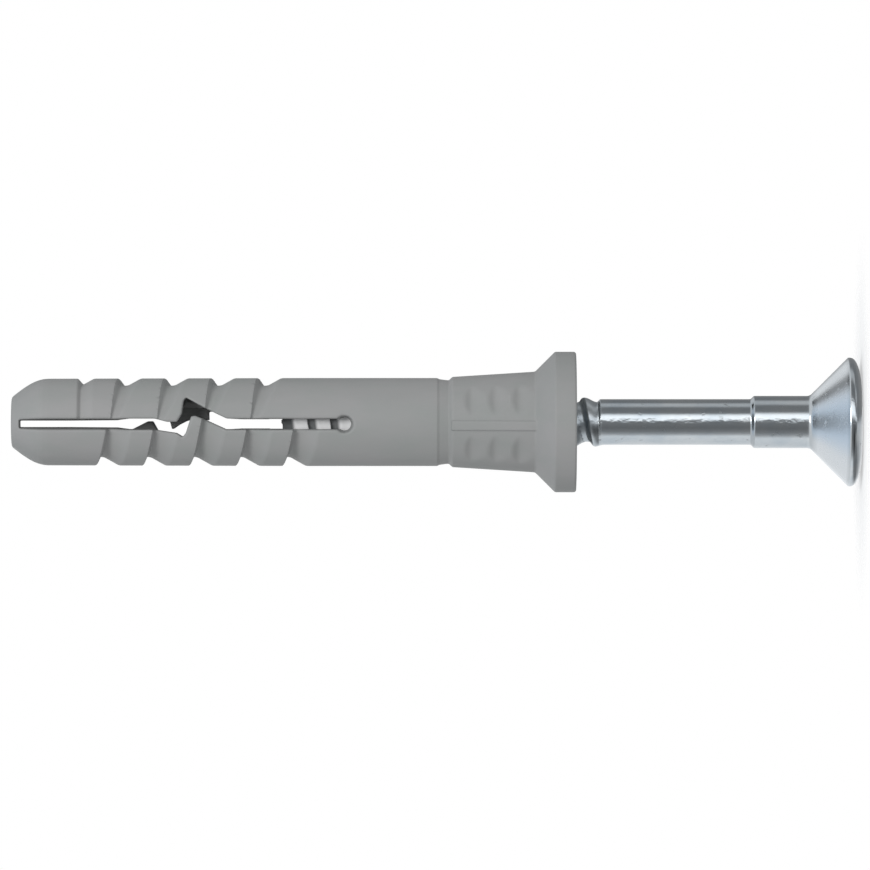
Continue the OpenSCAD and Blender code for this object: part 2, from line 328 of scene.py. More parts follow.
def skin(name, distance, r, turns, z):
    """A mesh of the surface where the distance is zero, as a smooth object."""
    angle = np.arange(turns) * 2 * math.pi / turns
    cells, offsets, inside = crossings(measure(distance, r, angle, z))
    number = np.full((len(r) - 1, turns, len(z) - 1), -1, np.int64)
    number[tuple(cells.T)] = np.arange(len(cells))
    rr = np.interp(cells[:, 0] + offsets[:, 0], np.arange(len(r)), r)
    aa = (cells[:, 1] + offsets[:, 1]) * 2 * math.pi / turns
    zz = np.interp(cells[:, 2] + offsets[:, 2], np.arange(len(z)), z)
    p = np.stack([rr * np.cos(aa), rr * np.sin(aa), zz], axis=1).astype(float)
    reach = PULL * min(np.diff(r).min(), np.diff(z).min())
    for _ in range(PULL_STEPS):
        g = gradient(distance, p)
        step = -distance(*p.T)[:, None] * g / np.maximum((g * g).sum(1), 0.2)[:, None]
        size = np.linalg.norm(step, axis=1)[:, None]
        p += step * np.minimum(1, reach / np.maximum(size, 1e-9))
    faces = [list(map(int, q)) for q in quads(inside, number)]
    if r[0] == 0:
        on_axis = inside[0, 0]
        for k in np.argwhere(on_axis[1:] != on_axis[:-1]).ravel():
            ring = [int(n) for n in number[0, :, k]]
            faces.append(ring if on_axis[k] else ring[::-1])
    mesh = bpy.data.meshes.new(name)
    mesh.from_pydata((p * MM).tolist(), [], faces)
    mesh.update()
    mesh.validate()
    mesh.shade_smooth()
    piece = bpy.data.objects.new(name, mesh)
    bpy.context.scene.collection.objects.link(piece)
    made = thinned(piece, MOST_TRIANGLES)
    place = np.array([v.co for v in piece.data.vertices]) / MM
    normal = gradient(distance, place, NORMAL_REACH)
    normal /= np.maximum(np.linalg.norm(normal, axis=1), 1e-6)[:, None]
    piece.data.normals_split_custom_set_from_vertices(normal.tolist())
    print(name, "was skinned with", made, "triangles, has", len(piece.data.polygons), "faces")
    return piece


# %% [markdown]
# The grid is fine where a piece has small forms and coarse along its plain stretches.

# %% Grid marks
def steps(*marks):
    """Grid marks from (start, end, step) of each stretch, joined end to end."""
    out = []
    for lo, hi, step in marks:
        n = max(1, round((hi - lo) / step))
        out += [lo + (hi - lo) * i / n for i in range(n)]
    return np.array(out + [marks[-1][1]])


COARSE = 1.0
print("grid steps are multiplied by", COARSE)

# %% [markdown]
# ## The sleeve's half section
#
# The nylon sleeve is a 40 mm moulding for a 6 mm hole. From the nail's side it has a collar with
# a straight rim and a 45 degree cone for a countersink, a grip section that tapers towards a
# shallow neck groove, a smooth body, the ribbed part that spreads, and a rounded tip. Inside is
# the seat for the nail's head, the bore of the neck, the bore of the thread, and beyond the
# nail's tip a narrow pilot bore that the nail forces open.

# %% Sleeve section
COLLAR_Z, TIP_Z = 20.2, 60.2
BODY_R, CREST_R, TIP_R, TIP_L = 3.12, 3.07, 1.75, 2.6
ARC_STEPS = 8
COLLAR_R, RIM_TOP = 4.98, 21.7
GRIP_R, CONE_TOP = 3.57, 23.11
GRIP_TIP_R, NECK_Z, NECK_R, BODY_Z = 3.2, 29.07, 2.98, 30.0
RIB_Z = 39.61
SEAT_R, NECK_BORE_R, THREAD_BORE_R, PILOT_R = 4.62, 1.9, 1.8, 1.0
SEAT_END, NECK_BORE_END, BORE_END = 22.92, 27.34, 41.8

tip_arc = []
for k in range(ARC_STEPS + 1):
    t = k / ARC_STEPS
    tip_arc.append((TIP_R + (CREST_R - TIP_R) * math.cos(math.pi / 2 * t),
                    TIP_Z + TIP_L * (t - 1), 0.3 if k == ARC_STEPS else 0.0))
sleeve_section = Table(Outline(rounded([
    (SEAT_R, COLLAR_Z, 0.05),
    (COLLAR_R, COLLAR_Z, 0.2),
    (COLLAR_R, RIM_TOP, 0.16),
    (GRIP_R, CONE_TOP, 0.3),
    (GRIP_TIP_R, NECK_Z - 0.1, 0.2),
    (NECK_R - 0.02, NECK_Z + 0.15, 0.1),
    (NECK_R, NECK_Z + 0.4, 0.1),
    (NECK_R + 0.06, BODY_Z - 0.1, 0.1),
    (BODY_R, BODY_Z + 0.05, 0.1),
    (BODY_R, RIB_Z, 0.0),
    *tip_arc,
    (PILOT_R, TIP_Z, 0.1),
    (PILOT_R, BORE_END, 0.05),
    (THREAD_BORE_R, BORE_END, 0.1),
    (THREAD_BORE_R, NECK_BORE_END, 0.02),
    (NECK_BORE_R, NECK_BORE_END, 0.02),
    (NECK_BORE_R, SEAT_END, 0.3),
])), (0.5, 19.6), (5.4, 60.8))
print("the sleeve's section is kept on", sleeve_section.n, "points, and it is",
      TIP_Z - COLLAR_Z, "mm long")

# %% [markdown]
# ## Saw-tooth ribs
#
# The ribbed part grips the hole's wall. One groove winds five turns round it, left-handed, 3.3 mm
# to a turn, with a steep wall on the tip's side and a long ramp on the collar's side, so the plug
# slides in and doesn't come out. At its tip end the groove is cut off square. The two halves of
# the mould part along the slit, and on each half the groove starts deep at one edge of the slit
# and fades towards the other, which leaves a firm edge there. It also winds less steeply between
# the slit and the sides than a true helix would, its steep wall leans more there, and it is
# shallower on the +X side. The groove is measured from the wall of the nearest turn, so one
# formula serves all of them. Between the slit and the side of the front, a shallow straight notch
# carries the groove's square end on to the slit.

# %% Helical groove
LEAD, TURNS = 3.3, 5
GROOVE_DEPTH, WALL_L, FLOOR_L, RAMP_L, WALL_SPREAD = 0.62, 0.24, 0.39, 1.1, 1.1
GROOVE_START, GROOVE_TOP, END_SLOPE = 56.61, 55.49, 0.9
GROOVE_FADE, FADE_POWER, GROOVE_EASE = 0.85, 4, 0.2
SWAY_BACK, SWAY_UP, SWAY_DOWN = 0.2, 0.2, 0.12
FLOOR_SOFT, WALL_SOFT, GROOVE_SOFT = 0.1, 0.14, 0.06
NOTCH_DEPTH, NOTCH_FLOOR, NOTCH_RAMP = 0.3, 0.2, 0.8
SLIT_X = -0.13
TEETH_LINE = ((44.9, 0.0), (46.4, 0.75), (47.2, 0.95), (47.6, 1.0), (47.95, 0.45),
              (48.3, -0.1), (48.9, -0.15), (50.0, 0.0))


def groove_share(x, y, z):
    """Share of its full size that the groove has, and how far it is drawn towards the tip."""
    across = np.where(y > 0, SLIT_X - x, x - SLIT_X)
    line_z, line_x = zip(*TEETH_LINE)
    line = np.interp(z - np.where(y > 0, LEAD / 2, 0), line_z, line_x)
    turned = np.clip(np.arctan2(across, np.abs(y)) / math.pi, -0.5, 0.5)
    side = np.where(x > 0, SWAY_UP, SWAY_DOWN)
    leading = across > line
    way = np.where(leading, 1 - np.maximum(turned, 0), np.maximum(-turned, 0))
    sway = np.where(leading, 2 * turned * (side + SWAY_BACK) - SWAY_BACK, -2 * turned * side)
    return 1 - GROOVE_FADE * way ** FADE_POWER, sway


def groove(x, y, z):
    """Distance to the groove's void: negative inside it."""
    turned = np.mod(np.arctan2(y, x) + math.pi / 2, 2 * math.pi) / (2 * math.pi)
    share, sway = groove_share(x, y, z)
    from_start = GROOVE_START - LEAD * turned + sway - z
    turn = np.clip(np.floor(from_start / LEAD), 0, TURNS - 1)
    s = from_start - turn * LEAD
    rho = np.hypot(x, y)
    spread = np.clip(2 * x * np.abs(y) / np.maximum(rho * rho, 0.1), 0, 1)
    wall_l = WALL_L * (1 + WALL_SPREAD * spread)
    ramp = math.hypot(GROOVE_DEPTH, RAMP_L)
    down = CREST_R - rho
    behind_wall = (down * wall_l - s * GROOVE_DEPTH) / np.hypot(GROOVE_DEPTH, wall_l)
    below_floor = down - GROOVE_DEPTH * share * (1 - GROOVE_EASE * np.clip(x / BODY_R, 0, 1))
    under_ramp = (down * RAMP_L + (s - (WALL_L + FLOOR_L + RAMP_L) * share) * GROOVE_DEPTH) / ramp
    void = soft_max(soft_max(below_floor, under_ramp, FLOOR_SOFT), behind_wall, WALL_SOFT)
    notch_ramp = math.hypot(NOTCH_DEPTH, NOTCH_RAMP)
    under_notch = (down * NOTCH_RAMP + (GROOVE_TOP - NOTCH_FLOOR - NOTCH_RAMP - z)
                   * NOTCH_DEPTH) / notch_ramp
    notch = soft_max(down - NOTCH_DEPTH, under_notch, FLOOR_SOFT)
    notch = np.maximum(notch, np.maximum(y, SLIT_X - x))
    closed = (z - GROOVE_TOP + END_SLOPE * down) / math.hypot(1, END_SLOPE)
    return soft_max(np.minimum(void, notch), closed, GROOVE_SOFT)


print("the groove's size half way round each half:", 1 - GROOVE_FADE * 0.5 ** FADE_POWER)

# %% [markdown]
# ## The slit and its locking teeth
#
# A slit runs through both walls, so that the driven nail can part the two halves. Half way along,
# the halves are keyed to each other by hooked teeth. The back's teeth follow the front's, turned
# half round the axis and shifted half a lead to the tip, but they are sharper, with a relief cut
# beside them, so the back has an outline of its own. Each side's outline is drawn flat, seen from
# the front. The blades that mould the slit are tapered so that they draw out, more so towards the
# tip, and so is the pin of the round hole: both are narrower inside than at the surface.

# %% Slit outlines
HOLE_Z, HOLE_INNER_R, HOLE_DRAFT, HOLE_WALL, HOLE_SOFT = 36.6, 0.43, 0.15, 1.78, 0.05
TEETH_MIDDLE, TEETH_HALF = 48.3, 3.4
DRAFT_Z, DRAFT = (44.0, 56.0), (0.03, 0.08)
front_slit = [
    (0.39, 59.68, 0.2), (0.39, 50.0, 0.4), (0.16, 49.12, 0.1), (0.16, 48.42, 0.1),
    (0.74, 48.08, 0.15), (1.66, 47.95, 0.1), (1.86, 47.78, 0.06), (1.08, 46.35, 0.5),
    (0.39, 44.9, 0.5), (0.39, HOLE_Z),
    (-0.39, HOLE_Z), (-0.39, 44.9, 0.4), (0.3, 46.4, 0.15), (0.6, 47.16, 0.15),
    (0.54, 47.42, 0.12), (-0.63, 47.8, 0.08), (-0.9, 48.02, 0.08), (-0.63, 48.46, 0.1),
    (-0.39, 50.0, 0.4), (-0.39, 59.68, 0.2),
]
back_slit = [
    (0.39, 59.85, 0.2), (0.39, 51.65, 0.4), (0.76, 50.11, 0.1), (1.03, 49.67, 0.08),
    (0.76, 49.45, 0.08), (0.14, 49.02, 0.08), (-0.37, 48.88, 0.06), (-0.37, 48.75, 0.1),
    (-0.1, 48.37, 0.2), (0.17, 47.84, 0.2), (0.3, 47.4, 0.1), (0.24, 46.24, 0.05),
    (0.85, 46.26, 0.1), (0.85, 45.8, 0.2), (0.39, 44.8, 0.3), (0.39, HOLE_Z),
    (-0.39, HOLE_Z), (-0.39, 46.55, 0.5), (-0.98, 48.0, 0.5), (-1.72, 49.45, 0.06),
    (-1.53, 49.67, 0.1), (-0.61, 49.8, 0.15), (0.17, 50.24, 0.05), (0.17, 50.6, 0.1),
    (-0.39, 51.7, 0.3), (-0.39, 59.85, 0.2),
]
slit_tables = [Table(Outline(rounded(outline)), (-5.2, 33.0), (5.2, 61.0))
               for outline in (front_slit, back_slit)]
print("slit tables of", slit_tables[0].n, "points")


def slit(x, y, z):
    """Distance to the slit's void, front and back, with the round hole that ends it."""
    depth = np.clip(np.abs(y), PILOT_R, BODY_R)
    front = slit_tables[0].read(x - SLIT_X, z)
    back = slit_tables[1].read(x - SLIT_X, z)
    straight = np.clip(np.abs(z - TEETH_MIDDLE) - TEETH_HALF, 0, 1)
    draft = np.interp(z, DRAFT_Z, DRAFT)
    void = np.where(y < 0, front, back) + draft * (BODY_R - depth) * straight
    hole_r = HOLE_INNER_R + HOLE_DRAFT * np.maximum(depth - HOLE_WALL, 0)
    hole = np.hypot(x - SLIT_X, z - HOLE_Z) - hole_r
    return soft_min(void, hole, HOLE_SOFT)


# %% [markdown]
# ## Grip pockets and bar
#
# A raised bar runs up the front and the back of the grip section, and three shallow pockets with
# flat floors lie on each side of it. Each has a long ramp towards the collar and a shorter one
# towards the tip. They keep the collar from turning in the hole. A flat that is turned 33 degrees
# from the front cuts a pocket which runs out in the round surface by itself, so it needs no walls.
# The whole grip stands turned a few degrees from the slit.

# %% Pockets and bar
POCKET_TURN, POCKET_DEPTH, POCKET_PITCH = math.radians(33), 0.27, 1.69
POCKET_GAP, POCKET_RAMP, POCKET_FLOOR, POCKET_END = 0.2, 0.9, 0.1, 0.66
POCKETS, POCKET_FLOOR_SOFT, POCKET_RIDGE_SOFT = 3, 0.1, 0.08
GRIP_TURN, BAR_HALF, BAR_RISE, BAR_ROOT_R = math.radians(4), 0.35, 0.1, 2.7
BAR_FROM, BAR_TO, BAR_SOFT = CONE_TOP - 0.3, NECK_Z - 0.05, 0.08


def grip_surface(z):
    """Radius of the grip section at a height."""
    return GRIP_R - (GRIP_R - GRIP_TIP_R) * (z - CONE_TOP) / (NECK_Z - CONE_TOP)


def turned_grip(x, y):
    """Place beside the bar and out along it, as the front and the back mirror each other."""
    c, s = math.cos(GRIP_TURN), math.sin(GRIP_TURN)
    return x * c + np.abs(y) * s, np.abs(y) * c - x * s


def pockets(x, y, z):
    """Distance to the void of the nearest grip pocket."""
    beside, ahead = turned_grip(x, y)
    out = ahead * math.cos(POCKET_TURN) + np.abs(beside) * math.sin(POCKET_TURN)
    ramp, end = math.hypot(POCKET_DEPTH, POCKET_RAMP), math.hypot(POCKET_DEPTH, POCKET_END)
    best = None
    for i in range(POCKETS):
        z0 = CONE_TOP + POCKET_GAP + i * POCKET_PITCH
        above = grip_surface(z0) - out
        past = z - z0 - POCKET_RAMP - POCKET_FLOOR - POCKET_END
        under_ramp = (above * POCKET_RAMP - (z - z0) * POCKET_DEPTH) / ramp
        under_end = (above * POCKET_END + past * POCKET_DEPTH) / end
        ends = soft_max(under_ramp, under_end, POCKET_RIDGE_SOFT)
        void = soft_max(above - POCKET_DEPTH, ends, POCKET_FLOOR_SOFT)
        void = np.maximum(void, np.maximum(z0 - z, past))
        best = void if best is None else np.minimum(best, void)
    return best


def bar(x, y, z):
    """Distance to the raised bars at the front and at the back."""
    rho = np.hypot(x, y)
    beside, _ = turned_grip(x, y)
    top = soft_max(rho - grip_surface(z) - BAR_RISE, np.abs(beside) - BAR_HALF, BAR_SOFT)
    ends = np.maximum(z - BAR_TO, BAR_FROM - z)
    return np.maximum(np.maximum(top, ends), BAR_ROOT_R - rho)


print("the grip tapers from", grip_surface(CONE_TOP), "to", grip_surface(NECK_Z), "mm in radius")

# %% [markdown]
# ## The whole sleeve
#
# The bars are added to the swept section, and pockets, groove and slit are cut out of it. The bar,
# the pockets and the groove are only worked out at the heights where they are.

# %% Sleeve skin
GRIP_TO, RIBS_FROM, HOLE_FROM = NECK_Z + 1, RIB_Z - 2, HOLE_Z - 2
BAR_FILLET, POCKET_EDGE, GROOVE_EDGE, SLIT_EDGE = 0.06, 0.08, 0.06, 0.2


def sleeve_distance(x, y, z):
    """Distance to the sleeve's skin."""
    rho = np.hypot(x, y)
    body = sleeve_section.read(rho, z)
    if z.min() < GRIP_TO:
        barred = soft_min(body, bar(x, y, z), BAR_FILLET)
        gripped = cut(barred, pockets(x, y, z), POCKET_EDGE)
        body = np.where(z < GRIP_TO, gripped, body)
    if z.max() > RIBS_FROM:
        body = np.where(z > RIBS_FROM, cut(body, groove(x, y, z), GROOVE_EDGE), body)
    if z.max() > HOLE_FROM:
        body = cut(body, slit(x, y, z), SLIT_EDGE)
    return body


sleeve_skin = skin(
    "sleeve_skin", sleeve_distance,
    r=steps((0.86, 2.6, 0.1 * COARSE), (2.6, 3.7, 0.07 * COARSE), (3.7, 5.1, 0.1 * COARSE)),
    turns=int(216 / COARSE),
    z=steps((20.0, 20.5, 0.08), (20.5, 21.3, 0.2), (21.3, 30.6, 0.09 * COARSE), (30.6, 35.7, 0.3),
            (35.7, 37.5, 0.09), (37.5, 39.3, 0.2), (39.3, 55.8, 0.085 * COARSE),
            (55.8, 57.5, 0.15), (57.5, 60.4, 0.09 * COARSE)),
)

# %% [markdown]
# ## The drive nail
#
# The nail is cold-formed steel with a rolled thread. Its countersunk head has a low dome with a
# flat land round a cross recess, so that the nail can be backed out with a driver. Above the head
# come a thick neck, a step down to the plain shank and the stretch with the thread. The blunt tip
# is chamfered. The section starts beyond the axis, where nothing is swept, so that both ends come
# out flat.

# %% Nail section
HEAD_R, HEAD_EDGE, DOME_RISE, LAND_R = 4.565, 0.92, 0.75, 2.5
NAIL_NECK_R, NECK_L, SHANK_R, SHANK_END = 1.85, 7.6, 1.62, 18.5
ROOT_R, THREAD_R, THREAD_LEAD = 1.4, 1.75, 1.6
NAIL_L, NAIL_TIP_L, NAIL_TIP_R = 41.0, 0.7, 0.8
NECK_STEP, THREAD_STEP, FLAT_END = 0.23, 0.22, 0.004

dome = []
for k in range(1, ARC_STEPS + 1):
    t = k / ARC_STEPS
    dome.append((LAND_R + (HEAD_R - LAND_R) * math.sin(math.pi / 2 * t),
                 DOME_RISE * (1 - math.cos(math.pi / 2 * t)), 0.05 if k == ARC_STEPS else 0.0))
nail_section = Table(Outline(rounded([
    (-1.0, FLAT_END),
    (LAND_R, FLAT_END, 0.3),
    *dome,
    (HEAD_R, HEAD_EDGE, 0.05),
    (NAIL_NECK_R, HEAD_EDGE + HEAD_R - NAIL_NECK_R, 0.5),
    (NAIL_NECK_R, NECK_L, 0.12),
    (SHANK_R, NECK_L + NECK_STEP, 0.12),
    (SHANK_R, SHANK_END, 0.1),
    (ROOT_R, SHANK_END + THREAD_STEP, 0.1),
    (ROOT_R, NAIL_L - NAIL_TIP_L, 0.15),
    (NAIL_TIP_R, NAIL_L - FLAT_END, 0.12),
    (-1.0, NAIL_L - FLAT_END),
])), (-0.1, -0.5), (4.9, 41.5))
print("the nail's section is kept on", nail_section.n, "points, and it is", NAIL_L, "mm long")

# %% [markdown]
# ## Drive thread
#
# The right-handed thread bites into the nylon. Its first ridge is steep towards the tip and long
# towards the head. In the second turn it grows into a wide land between narrow grooves. As with
# the sleeve's groove, the distance is measured from the nearest turn. Near the axis the ridge's
# formula reaches further than at its crest, and the last turn stands 0.1 mm out of the nail's
# end, where the bore hides it.

# %% Thread
THREAD_CREST, THREAD_START, THREAD_SOFT = 0.125, math.radians(-205), 0.12
TIP_RUN, COLLAR_RUN, LAND_RUN, THREAD_LAND = 0.3, 0.85, 0.25, 0.88
LAND_FROM, THREAD_ROOT, THREAD_INSET = 1.5, 0.1, 0.2
THREAD_FROM = SHANK_END + THREAD_INSET
THREAD_TO = NAIL_L - NAIL_TIP_L - THREAD_INSET


def thread(rho, angle, z):
    """Distance to the thread's ridge."""
    turned = np.mod(angle - THREAD_START, 2 * math.pi) / (2 * math.pi)
    ahead = z - THREAD_FROM - THREAD_LEAD * turned
    last = (THREAD_TO - THREAD_FROM) / THREAD_LEAD - turned
    turn = np.clip(np.round(ahead / THREAD_LEAD), 0, np.floor(last))
    s = ahead - turn * THREAD_LEAD
    height = THREAD_R - ROOT_R + THREAD_ROOT
    full = np.clip((z - SHANK_END - LAND_FROM) / THREAD_LEAD, 0, 1)
    collar_run = COLLAR_RUN + (LAND_RUN - COLLAR_RUN) * full
    collar_crest = THREAD_CREST + (THREAD_LAND - THREAD_CREST) * full
    ridge = rho - THREAD_R
    for side, crest, run in ((s, THREAD_CREST, TIP_RUN), (-s, collar_crest, collar_run)):
        flank = ((side - crest) * height + (rho - THREAD_R) * run) / np.hypot(height, run)
        ridge = soft_max(ridge, flank, THREAD_SOFT)
    return ridge


print("the thread has", round((THREAD_TO - THREAD_FROM) / THREAD_LEAD, 1), "turns")

# %% [markdown]
# ## Cross recess
#
# Two crossed wings and a round core narrow towards the bottom, and a cone bounds them, as on the
# driver that fits.

# %% Recess
RECESS_DEPTH, RECESS_R, RECESS_BOTTOM_R, WING_HALF, CORE_R = 1.9, 2.05, 1.0, 0.4, 0.85
WING_TAPER, CORE_SOFT, CONE_SOFT, BOTTOM_SOFT = 0.06, 0.3, 0.1, 0.15


def recess(x, y, z):
    """Distance to the void of the cross recess."""
    rho = np.hypot(x, y)
    slope = (RECESS_R - RECESS_BOTTOM_R) / RECESS_DEPTH
    cone = (rho - RECESS_R + slope * z) / math.hypot(1, slope)
    narrow = WING_TAPER * z
    wings = np.minimum(np.abs(x), np.abs(y)) - WING_HALF + narrow
    core = rho - CORE_R + 2 * narrow
    void = soft_min(wings, core, CORE_SOFT)
    return soft_max(soft_max(void, cone, CONE_SOFT), z - RECESS_DEPTH, BOTTOM_SOFT)


print("distance to the recess from the middle of the head:", round(float(recess(0, 0, 0)), 2))

# %% [markdown]
# ## The whole nail
#
# The ridge is joined to the swept section with a small fillet, and the recess is cut out of the
# head.

# %% Nail skin
RIDGE_FROM, HEAD_TO, RECESS_EDGE = SHANK_END - 0.5, RECESS_DEPTH + 1.1, 0.08


def nail_distance(x, y, z):
    """Distance to the nail's skin."""
    rho = np.hypot(x, y)
    body = nail_section.read(rho, z)
    ridge = thread(rho, np.arctan2(y, x), z)
    body = np.where(z > RIDGE_FROM, soft_min(body, ridge, THREAD_SOFT), body)
    return np.where(z < HEAD_TO, cut(body, recess(x, y, z), RECESS_EDGE), body)


nail_skin = skin(
    "nail_skin", nail_distance,
    r=steps((0.0, 1.3, 0.1), (1.3, 1.9, 0.06 * COARSE), (1.9, 4.7, 0.1)),
    turns=int(128 / COARSE),
    z=steps((-0.1, 4.4, 0.075 * COARSE), (4.4, 18.3, 0.15), (18.3, 41.1, 0.065 * COARSE)),
)

# %% [markdown]
# ## Shader maths
#
# Materials are written as expressions. `Sock` wraps a socket, so that `1 - mask * 0.3` adds the
# Math nodes it needs. Any other node comes from `Net.node`, which takes the node's type, its
# settings and the values or links of its sockets. The short methods below it only fill it in for
# the nodes that come back often.

# %% Sockets as numbers
class Sock:
    def __init__(self, net, socket):
        self.net, self.socket = net, socket

    def _math(self, kind, other, swap=False):
        pair = (other, self) if swap else (self, other)
        return self.net.node("ShaderNodeMath", {"operation": kind}, {0: pair[0], 1: pair[1]})

    def __add__(self, o): return self._math("ADD", o)
    def __radd__(self, o): return self._math("ADD", o, True)
    def __sub__(self, o): return self._math("SUBTRACT", o)
    def __rsub__(self, o): return self._math("SUBTRACT", o, True)
    def __mul__(self, o): return self._math("MULTIPLY", o)
    def __rmul__(self, o): return self._math("MULTIPLY", o, True)
    def __truediv__(self, o): return self._math("DIVIDE", o)
    def __rtruediv__(self, o): return self._math("DIVIDE", o, True)


class Net:
    """A node tree that is written as expressions."""

    def __init__(self, tree):
        self.tree = tree
        tree.nodes.clear()

    def node(self, kind, settings=None, inputs=None, out=0):
        made = self.tree.nodes.new(kind)
        for key, value in (settings or {}).items():
            if key == "stops":
                ramp = made.color_ramp
                while len(ramp.elements) < len(value):
                    ramp.elements.new(1.0)
                for e, (at, colour) in zip(ramp.elements, value):
                    e.position, e.color = at, colour
            elif key == "ramp_mode":
                made.color_ramp.interpolation = value
            else:
                setattr(made, key, value)
        for key, value in (inputs or {}).items():
            if isinstance(value, Sock):
                self.tree.links.new(value.socket, made.inputs[key])
            else:
                made.inputs[key].default_value = value
        return Sock(self, made.outputs[out] if made.outputs else None)

    def several(self, kind, names, inputs=None):
        """Several outputs of one node, by their names."""
        first = self.node(kind, {}, inputs)
        return [Sock(self, first.socket.node.outputs[name]) for name in names]

    def blend_colour(self, factor, a, b):
        return self.node("ShaderNodeMix", {"data_type": "RGBA"}, {0: factor, 6: a, 7: b}, out=2)

    def stretch(self, where, by):
        return self.node("ShaderNodeVectorMath", {"operation": "MULTIPLY"}, {0: where, 1: by})

    def length(self, where):
        return self.node("ShaderNodeVectorMath", {"operation": "LENGTH"}, {0: where}, out=1)

    def noise(self, where, per_metre, detail, rough):
        """Noise with its own number of waves to a metre along X, Y and Z."""
        return self.node("ShaderNodeTexNoise", {}, {
            "Vector": self.stretch(where, per_metre), "Scale": 1.0,
            "Detail": detail, "Roughness": rough})

    def ramp(self, value, *stops, mode="LINEAR"):
        """A number from 0 to 1 as a grey level, through the stops given as (place, level)."""
        return self.node("ShaderNodeValToRGB", {
            "ramp_mode": mode,
            "stops": [(at, (v, v, v, 1.0)) for at, v in stops],
        }, {"Fac": value})

    def zone(self, metres, reach, *stops, mode="LINEAR"):
        """A length as a level: stops are (millimetres, level), all within `reach`."""
        lo, hi = reach
        scaled = metres * (1 / ((hi - lo) * MM)) - lo / (hi - lo)
        places = [((at - lo) / (hi - lo), level) for at, level in stops]
        return self.ramp(scaled, *places, mode=mode)

    def bump(self, strength, distance, height):
        return self.node("ShaderNodeBump", {}, {
            "Strength": strength, "Distance": distance, "Height": height})


def start_material(name):
    """An empty material, its net and the place of each point on its own object."""
    mat = bpy.data.materials.new(name)
    mat.use_nodes = True
    net = Net(mat.node_tree)
    return mat, net, net.node("ShaderNodeTexCoord", out="Object")


def colour(code):
    """A screen colour such as 909291 as the linear colour that a shader takes."""
    parts = [int(code[i:i + 2], 16) / 255 for i in (0, 2, 4)]
    lin = [c / 12.92 if c <= 0.04045 else ((c + 0.055) / 1.055) ** 2.4 for c in parts]
    return (*lin, 1.0)


print("the nylon's grey in linear light:", [round(c, 3) for c in colour("909291")])

# %% [markdown]
# ## Matte grey nylon
#
# The sleeve is moulded from grey-filled nylon. Its skin is dull and even, with a faint bloom
# where the melt flowed and a fine grain from the mould's spark-eroded steel. So the colour varies
# only slightly, the roughness varies a little more, and the grain is a very shallow bump.

# %% Nylon
def make_nylon():
    mat, net, place = start_material("nylon_moulded")
    flow = net.noise(place, (260, 260, 90), 4.0, 0.55)
    grain = net.noise(place, (5200, 5200, 5200), 2.0, 0.6)
    patch = net.noise(place, (700, 700, 420), 3.0, 0.5)
    base = net.blend_colour(net.ramp(flow, (0.35, 0.0), (0.65, 1.0)),
                            colour("929493"), colour("999999"))
    base = net.blend_colour(net.ramp(patch, (0.45, 0.0), (0.75, 0.35)), base, colour("8f9592"))
    shader = net.node("ShaderNodeBsdfPrincipled", {}, {
        "Base Color": base, "Roughness": 0.5 + flow * 0.1 + grain * 0.06,
        "Normal": net.bump(0.12, 0.00002, grain * 0.5 + patch * 0.5),
        "IOR": 1.5, "Specular IOR Level": 0.25,
    })
    net.node("ShaderNodeOutputMaterial", {}, {"Surface": shader})
    return mat


nylon = make_nylon()
sleeve_skin.data.materials.append(nylon)
print("nylon nodes:", len(nylon.node_tree.nodes))

# %% [markdown]
# ## Zinc-plated steel
#
# The nail is bright steel under a thin zinc coat with a bluish passivation. It mirrors the tent
# around it, blurred a little by the plating's crystals, with faint rings from the heading and
# rolling dies and small dull specks. Fine rings are a noise stretched round the axis, so they run
# across it. The rolled thread is duller than the plain shank, and the head's cone, only pressed,
# is a little duller too. The cone's colour is painted pale and bluish, a painted brightening of
# the dark reflection of the collar that it shows.

# %% Where the plating changes along the nail
ALONG = (0, 100)


def die_dents(net, place, x, y, z):
    """A row of shallow dents up the front of the shank, on the line where the dies met."""
    row = net.zone(x, (-0.5, 0.5), (-0.1, 0.0), (0.02, 1.0), (0.2, 1.0), (0.32, 0.0))
    front = net.zone(y * -1.0, (0, 1), (0.0, 0.0), (0.8, 1.0))
    shaft = net.zone(z, ALONG, (3.6, 0.0), (4.2, 1.0))
    return (net.noise(place, (1500, 1500, 1100), 3.0, 0.6) - 0.5) * (row * front * shaft)


def painted_thread_root_shade(net, place, z):
    """Painted shade in the thread's grooves, as far as they lie inside the sleeve."""
    out = net.length(net.stretch(place, (1, 1, 0)))
    root = net.zone(out, (0, 4), (ROOT_R + 0.04, 1.0), (ROOT_R + 0.24, 0.0))
    return root * net.zone(z, ALONG, (COLLAR_Z + 0.2, 0.0), (COLLAR_Z + 0.7, 1.0))


print("the thread is dark from", COLLAR_Z + 0.7, "mm up, within a radius of", ROOT_R + 0.24)
